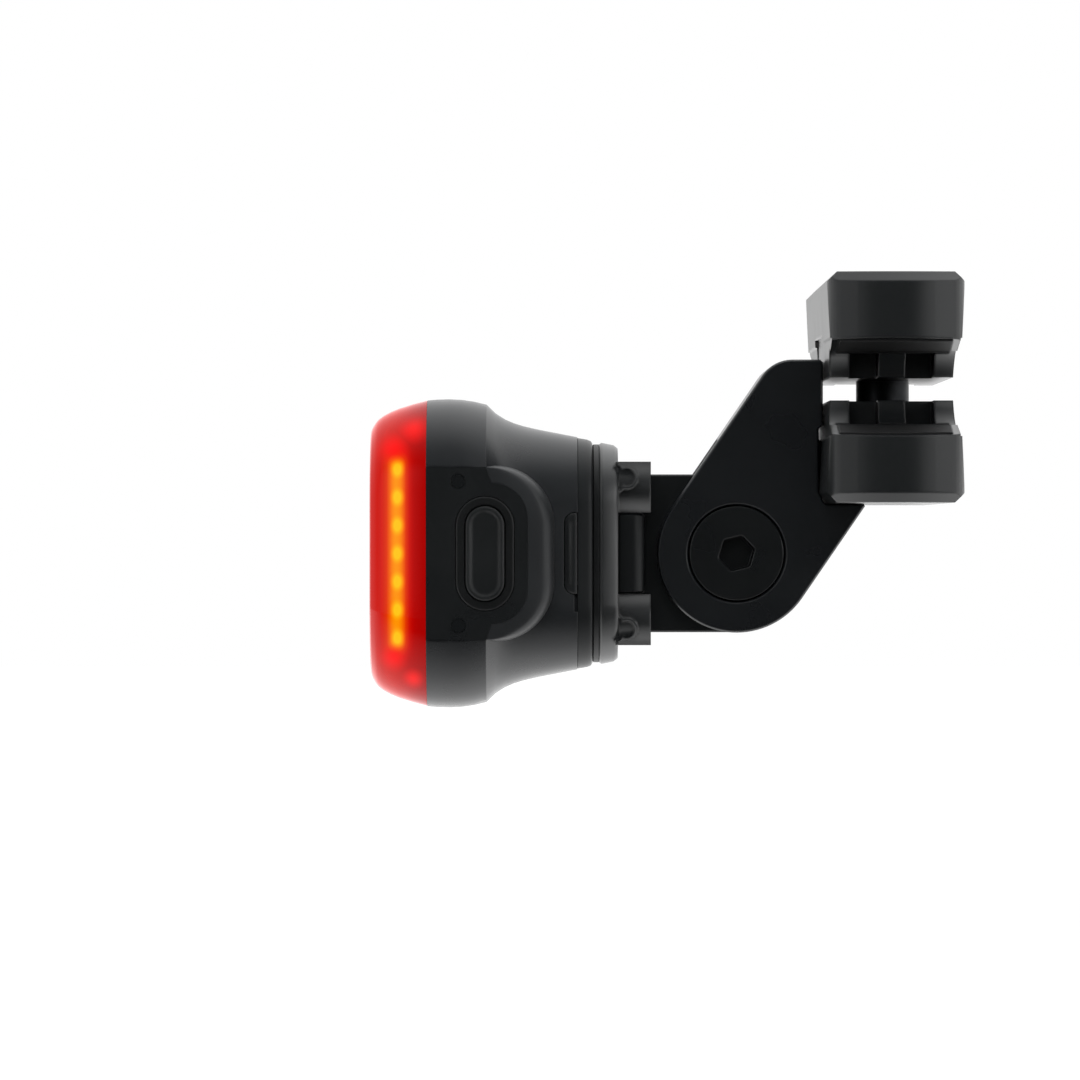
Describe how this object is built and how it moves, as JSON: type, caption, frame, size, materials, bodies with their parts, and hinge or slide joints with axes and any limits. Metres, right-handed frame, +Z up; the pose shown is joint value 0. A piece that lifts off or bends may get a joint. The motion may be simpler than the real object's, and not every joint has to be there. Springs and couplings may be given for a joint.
{
  "type": "bike rear light with saddle-rail bracket",
  "caption": "Compact square rechargeable rear light with a red lens, on a tilting arm that clamps the two rails of a saddle.",
  "frame": {"origin": "midway between the axes of the two rail channels of the lower jaw, on the clamp bolt's axis", "axes": "+X points to the front of the bike and the lens faces -X, +Y across the bike, +Z up through the upper jaw"},
  "size_m": [0.072, 0.058, 0.053],
  "materials": {
    "arm_nylon": "satin, glass-filled",
    "jaw_nylon": "satin, glass-filled",
    "pad_rubber": "matt",
    "black_steel": "black oxide",
    "bolt_steel": "dark zinc",
    "bearing_plastic": "plain",
    "base_plastic": "fine texture",
    "housing_plastic": "satin smoke grey",
    "panel_plastic": "satin",
    "seal_rubber": "matt",
    "key_rubber": "matt",
    "status_window": "smoked",
    "port_shell": "plain",
    "circuit_board": "solder mask",
    "switch_metal": "plain",
    "battery_foil": "foil",
    "lens_red": "clear tinted",
    "window_smoke": "smoked",
    "board_white": "solder mask",
    "led_body": "clear",
    "amber_led": "clear",
    "reflector_white": "metallised"
  },
  "bodies": {
    "bracket": {"arm": "arm_nylon", "lower_jaw": "jaw_nylon", "lower_rail_pads": "pad_rubber", "clamp_nut": "black_steel", "pivot_bolt": "black_steel", "pivot_nut": "black_steel", "pivot_washers": "bearing_plastic"},
    "upper_jaw": {"upper_jaw": "jaw_nylon", "upper_rail_pads": "pad_rubber", "clamp_washer": "bolt_steel"},
    "clamp_bolt": {"clamp_bolt": "bolt_steel"},
    "mount": {"hinge_block": "base_plastic", "mount_base": "base_plastic", "base_gasket": "seal_rubber", "block_screws": "bolt_steel"},
    "light": {"back_cover": "base_plastic", "back_seal": "seal_rubber", "back_screws": "bolt_steel", "housing": "housing_plastic", "side_panel": "panel_plastic", "button_seal": "seal_rubber", "status_windows": "status_window", "charge_port": "port_shell", "main_board": "circuit_board", "tact_switch": "switch_metal", "battery": "battery_foil", "lens": "lens_red", "front_window": "window_smoke", "lens_seal": "seal_rubber", "led_board": "board_white", "front_leds": "led_body", "reflector": "reflector_white", "side_led_boards": "board_white", "side_leds": "amber_led"},
    "button": {"button": "key_rubber"},
    "port_cover": {"port_cover": "key_rubber"}
  },
  "joints": [
    {"name": "jaw_slide", "type": "slide", "parent": "bracket", "child": "upper_jaw", "axis": [0, 0, 1], "range_m": [-0.0024, 0.002]},
    {"name": "clamp_bolt_turn", "type": "hinge", "parent": "upper_jaw", "child": "clamp_bolt", "pos_m": [0, 0, 0], "axis": [0, 0, 1], "range_deg": [-1081, 901]},
    {"name": "tilt", "type": "hinge", "parent": "bracket", "child": "mount", "pos_m": [-0.0185, 0, -0.01885], "axis": [0, 1, 0], "range_deg": [-60, 30]},
    {"name": "twist_lock", "type": "hinge", "parent": "mount", "child": "light", "pos_m": [-0.0353, 0, -0.01885], "axis": [1, 0, 0], "range_deg": [0, 90]},
    {"name": "button_press", "type": "slide", "parent": "light", "child": "button", "axis": [0, 1, 0], "range_m": [0, 0.0005], "stiffness_N_per_m": 800},
    {"name": "port_cover_hinge", "type": "hinge", "parent": "light", "child": "port_cover", "pos_m": [-0.0383, -0.0147, -0.02385], "axis": [1, 0, 0], "range_deg": [0, 110]}
  ],
  "couplings": [
    {"joint": "clamp_bolt_turn", "follows": "jaw_slide", "rad_per_m": 7854}
  ]
}
